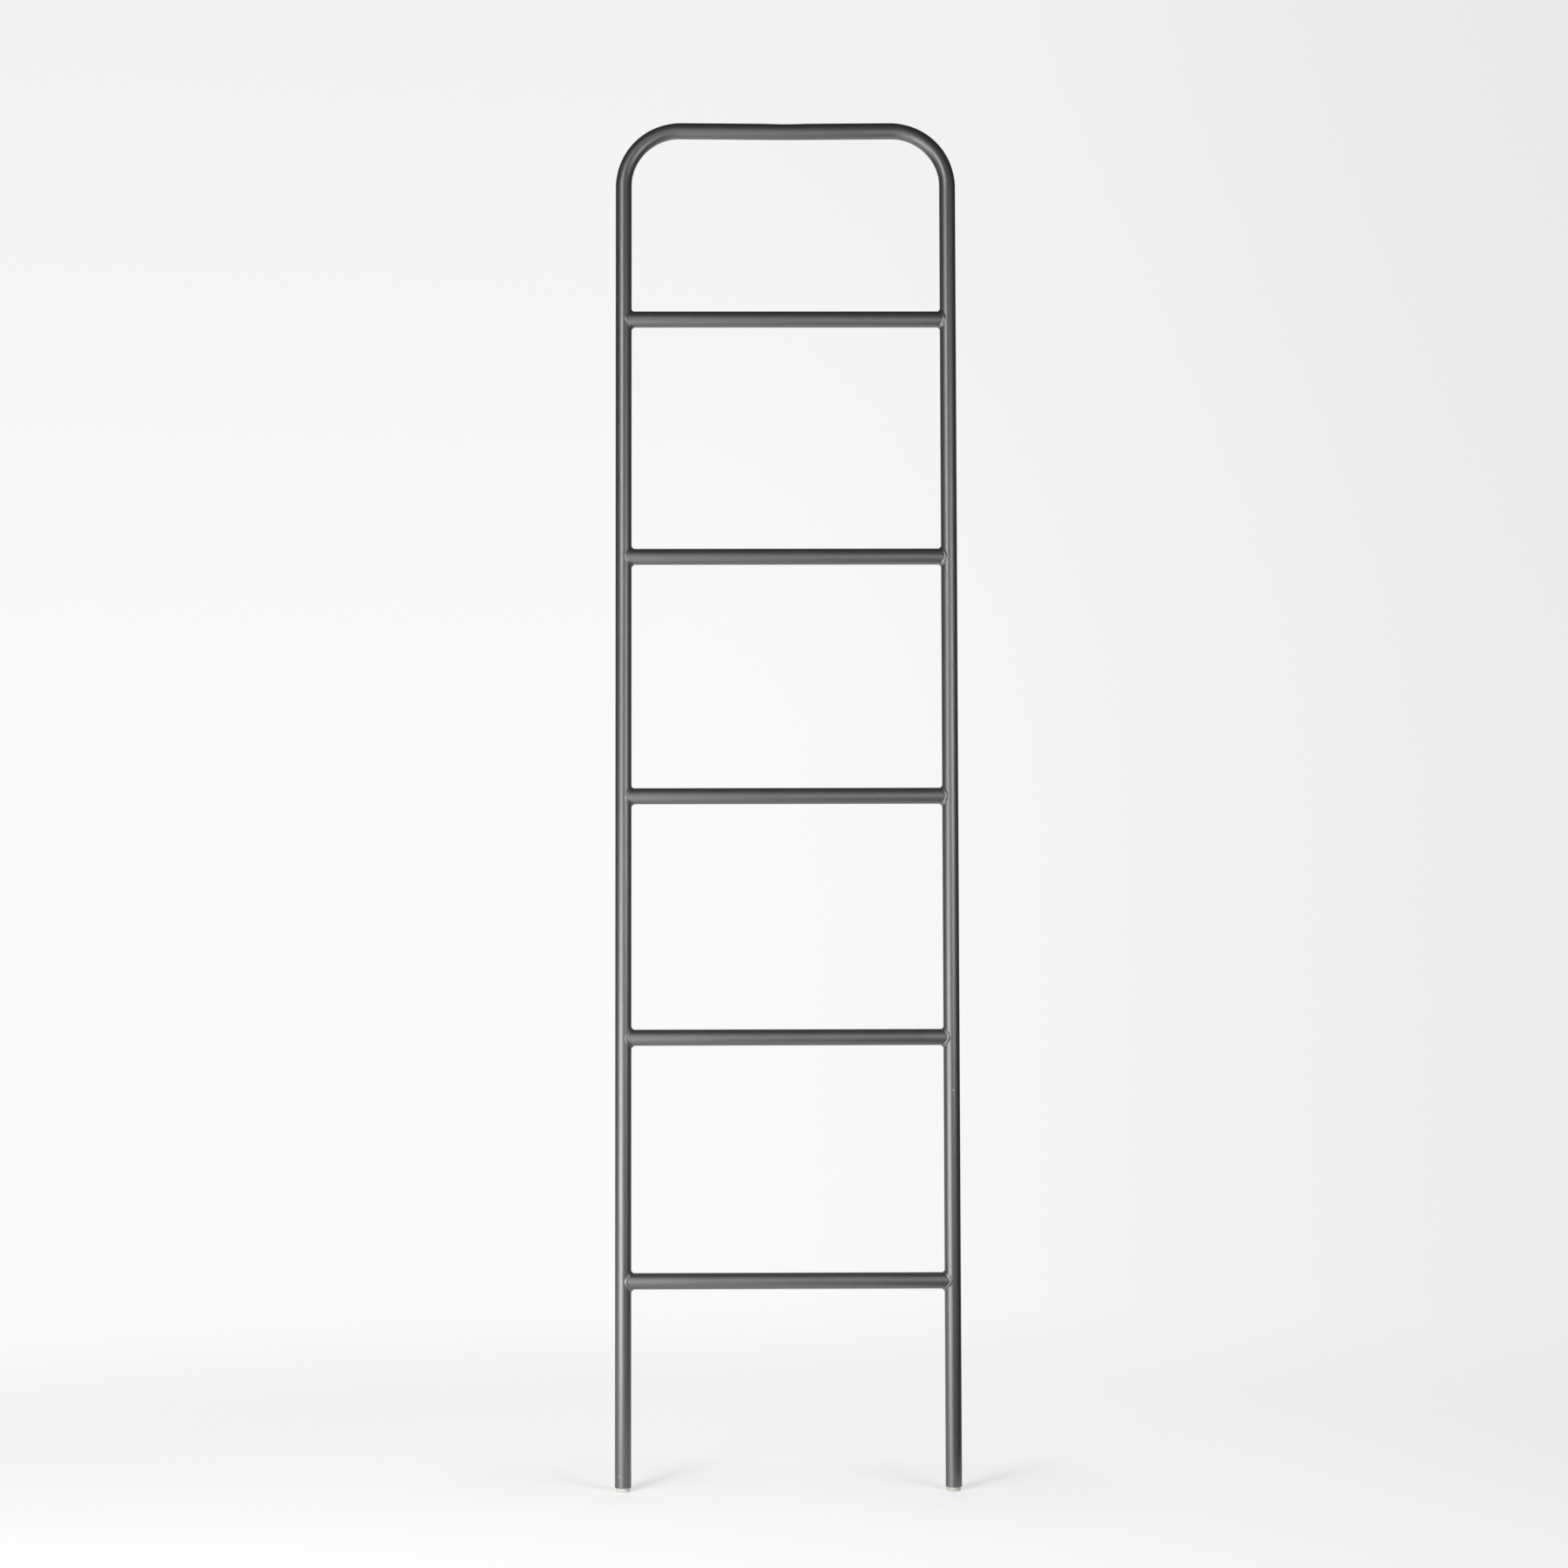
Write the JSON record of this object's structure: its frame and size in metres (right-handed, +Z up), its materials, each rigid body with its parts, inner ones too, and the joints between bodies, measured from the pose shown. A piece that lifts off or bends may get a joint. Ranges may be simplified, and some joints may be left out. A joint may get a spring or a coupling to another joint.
{
  "type": "storage ladder",
  "caption": "Leaning storage ladder of round steel tube: a hooped frame with welded rungs for hanging blankets, towels and clothes, on plastic plug feet.",
  "frame": {"origin": "on the floor, midway between the two soles", "axes": "+Z up along the stiles, +X across the ladder to the right as seen from its front, +Y to the back, towards the wall"},
  "size_m": [0.451, 0.0232, 1.8],
  "materials": {
    "powder_coat": "satin anthracite powder coat with a fine texture",
    "foot_plastic": "matte off-white moulded plastic"
  },
  "bodies": {
    "root": {"left_stile": "powder_coat", "right_stile": "powder_coat", "hoop_butt_weld": "powder_coat", "rung_1": "powder_coat", "rung_2": "powder_coat", "rung_3": "powder_coat", "rung_4": "powder_coat", "rung_5": "powder_coat", "rung_1_left_weld": "powder_coat", "rung_1_right_weld": "powder_coat", "rung_2_left_weld": "powder_coat", "rung_2_right_weld": "powder_coat", "rung_3_left_weld": "powder_coat", "rung_3_right_weld": "powder_coat", "rung_4_left_weld": "powder_coat", "rung_4_right_weld": "powder_coat", "rung_5_left_weld": "powder_coat", "rung_5_right_weld": "powder_coat", "left_foot": "foot_plastic", "right_foot": "foot_plastic"}
  },
  "joints": []
}
